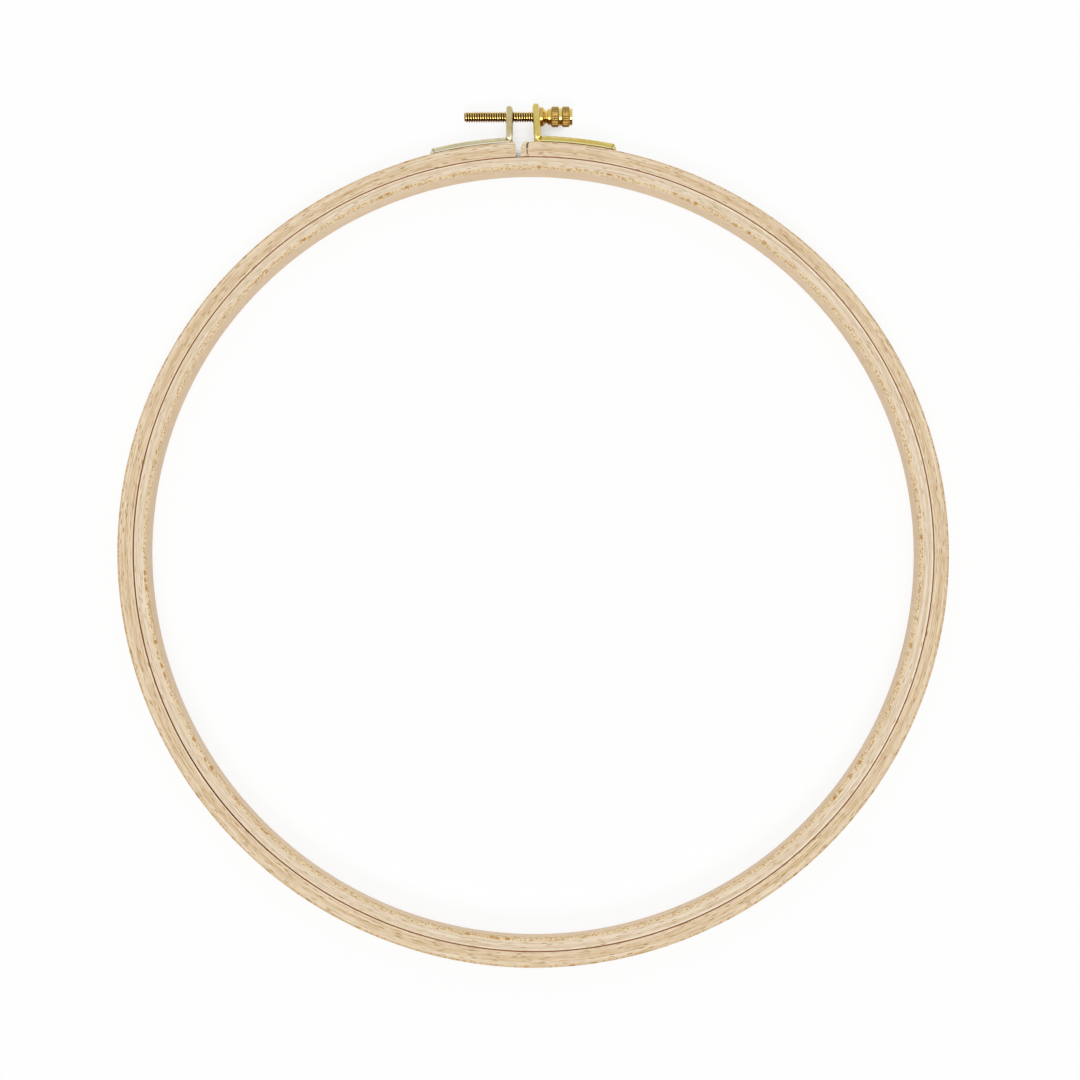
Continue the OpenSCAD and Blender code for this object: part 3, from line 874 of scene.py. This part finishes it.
thread_rows = np.linspace(tip_x, thread_end_x, rows_per_turn * thread_turns + 1)
neck_rows = np.linspace(thread_end_x, head_x, neck_steps)[1:-1]
head_rows = np.unique(np.concatenate([head_profile[:, 0], np.linspace(0, head_l, head_steps)]))
rows = np.concatenate([
    [tip_x], thread_rows, neck_rows, [head_x - before_head], head_x + head_rows, [head_end_x],
])
turn = np.linspace(0, 2 * np.pi, columns_per_ridge * knurl_ridges + 1)[:-1]
radius, groove, knurled = screw_surface(rows[:, None], turn)
radius[[0, -1]] = 0
points = np.stack(np.broadcast_arrays(
    rows[:, None], screw_y + radius * np.cos(turn), radius * np.sin(turn)), 2)
knurl_and_groove = np.stack(np.broadcast_arrays(rows[:, None], knurled, groove), 2)
screw_mesh = skin("thumbscrew", points, False, True, np.concatenate([knurl_and_groove, knurl_and_groove[:, :1]], 1))
weld(screw_mesh)
screw_mesh.set_sharp_from_angle(angle=math.radians(50))


def turned_brass():
    """Bright turned brass, duller on the knurled bands, with painted shade on the collar
    beside the lug, in the grooves, and in brown on the side towards the wood. The second
    strip coordinate is 1 on the knurled bands, the third the depth in a groove."""
    material = bpy.data.materials.new("oiled_turned_brass")
    material.use_nodes = True
    tree = material.node_tree
    shader = tree.nodes["Principled BSDF"]
    spot = place(tree, "TexCoord").outputs["Object"]
    marks = place(tree, "Group", {0: spot}, node_tree=wear).outputs
    strip = place(tree, "Attribute", attribute_name="strip").outputs["Vector"]
    parts = place(tree, "SeparateXYZ", {0: strip}).outputs
    knurled, depth = parts[1], parts[2]
    clean, dull = srgb(240, 214, 138), srgb(226, 190, 96)
    colour = tint(tree, ease(tree, marks["Clouds"], 0.35, 0.7), clean, dull)
    # Painted shade: the side towards the wood is painted brown and darker
    centred = {0: spot, 1: (0.0, screw_y, 0.0)}
    from_axis = place(tree, "VectorMath", centred, operation="SUBTRACT").outputs[0]
    across = {0: from_axis, 1: (0.0, 1.0, 1.0)}
    square = place(tree, "VectorMath", across, operation="MULTIPLY").outputs[0]
    outward = place(tree, "VectorMath", {0: square}, operation="NORMALIZE").outputs[0]
    to_rim = place(tree, "SeparateXYZ", {0: outward}).outputs[1]
    underside_shade = ease(tree, to_rim, -0.5, -0.72, 0.0, 0.9)
    colour = tint(tree, underside_shade, colour, srgb(146, 94, 24))
    length = place(tree, "SeparateXYZ", {0: spot}).outputs[0]
    # Painted shade on the collar, beside the lug
    collar_end_x = head_x + collar[-1][0] * mm
    on_collar = ease(tree, length, collar_end_x + 0.3 * mm, collar_end_x, 0.0, 0.5)
    past_neck = math_of(tree, "GREATER_THAN", length, head_x)
    on_collar = math_of(tree, "MULTIPLY", on_collar, past_neck)
    colour = tint(tree, on_collar, colour, srgb(186, 140, 52))
    colour = tint(tree, math_of(tree, "MULTIPLY", knurled, 0.8), colour, srgb(182, 148, 78))
    # Painted shade in the thread's roots and the knurl's grooves
    colour = tint(tree, ease(tree, depth, 0.25, 0.95, 0.0, 0.92), colour, srgb(60, 34, 10))
    tree.links.new(colour, shader.inputs["Base Color"])
    shader.inputs["Metallic"].default_value = 1.0
    rough = math_of(tree, "MAXIMUM", knurled, depth)
    tree.links.new(ease(tree, rough, 0.0, 1.0, 0.18, 0.4), shader.inputs["Roughness"])
    bump = place(tree, "Bump", {"Strength": 0.1, "Distance": 0.02 * mm, "Height": marks["Streaks"]})
    tree.links.new(bump.outputs[0], shader.inputs["Normal"])
    return material


piece("thumbscrew_brass", screw_mesh, turned_brass(), "thumbscrew", "turned_brass", "thumbscrew")

# Floor
# A plain white table, which the hoop lies on with its back face. It is lit up almost to
# white, and keeps a soft shade close to the hoop.

floor_r = 15.0
floor_sides = 64
turn = np.linspace(0, 2 * np.pi, floor_sides + 1)[:-1]
corners = np.stack([np.cos(turn) * floor_r, np.sin(turn) * floor_r, 0 * turn - half_depth], 1)
floor_mesh = bpy.data.meshes.new("floor")
floor_mesh.from_pydata(corners.tolist(), [], [list(range(floor_sides))])
floor = bpy.data.objects.new("floor", floor_mesh)
bpy.context.scene.collection.objects.link(floor)
floor_paint = bpy.data.materials.new("floor_paint")
floor_paint.use_nodes = True
tree = floor_paint.node_tree
shader = tree.nodes["Principled BSDF"]
shader.inputs["Base Color"].default_value = (0.95, 0.95, 0.95, 1)
shader.inputs["Roughness"].default_value = 0.9
ray = place(tree, "LightPath").outputs
mirrored = math_of(tree, "MAXIMUM", ray["Is Glossy Ray"], ray["Is Transmission Ray"])
seen = math_of(tree, "MAXIMUM", ray["Is Camera Ray"], mirrored)
white = place(tree, "Emission", {"Color": (1, 1, 1, 1), "Strength": 1.0}).outputs[0]
# Down in the saw cut the floor keeps its full shade
open_air = place(tree, "AmbientOcclusion", {"Distance": 20 * mm}, samples=16).outputs["AO"]
share = math_of(tree, "MULTIPLY", seen, ease(tree, open_air, 0.08, 0.34, 0.0, 0.88))
paint = place(tree, "MixShader", {0: share, 1: shader.outputs[0], 2: white})
tree.links.new(paint.outputs[0], tree.nodes["Material Output"].inputs[0])
floor_mesh.materials.append(floor_paint)

# Light
# A white studio: soft light from overhead and from behind the fittings, darker low down on
# the other sides, and a large lamp in front, which draws the bright line along the screw.

world = bpy.data.worlds.new("studio")
bpy.context.scene.world = world
world.use_nodes = True
tree = world.node_tree
way = place(tree, "SeparateXYZ", {0: place(tree, "TexCoord").outputs["Generated"]}).outputs
ramp = place(tree, "ValToRGB", {0: way[2]})
levels = ((0.0, 0.06), (0.55, 0.16), (0.75, 0.85), (1.0, 0.8))
while len(ramp.color_ramp.elements) < len(levels):
    ramp.color_ramp.elements.new(0.5)
for stop, (at, level) in zip(ramp.color_ramp.elements, levels):
    stop.position = at
    stop.color = (level, level, level, 1)
glow = tint(tree, ease(tree, way[1], -0.6, 0.4), ramp.outputs[0], (0.82, 0.82, 0.82, 1))
tree.links.new(glow, tree.nodes["Background"].inputs["Color"])

key = bpy.data.lights.new("front_lamp", "SUN")
key.energy = 1.2
key.angle = math.radians(26)
lamp = bpy.data.objects.new("front_lamp", key)
lamp.rotation_euler = (math.radians(40), 0, 0)
bpy.context.scene.collection.objects.link(lamp)

# Camera
# At the photograph's place: above the hoop's lower half, looking almost straight down.

camera = bpy.data.cameras.new("camera")
camera.lens = 62.4
camera.sensor_width = 36
eye = bpy.data.objects.new("camera", camera)
eye.location = (6.953 * mm, -58.971 * mm, 595.25 * mm)
eye.rotation_euler = (0.10207, 0.00767, 0)
bpy.context.scene.collection.objects.link(eye)
bpy.context.scene.camera = eye
bpy.context.scene.view_settings.view_transform = "Standard"
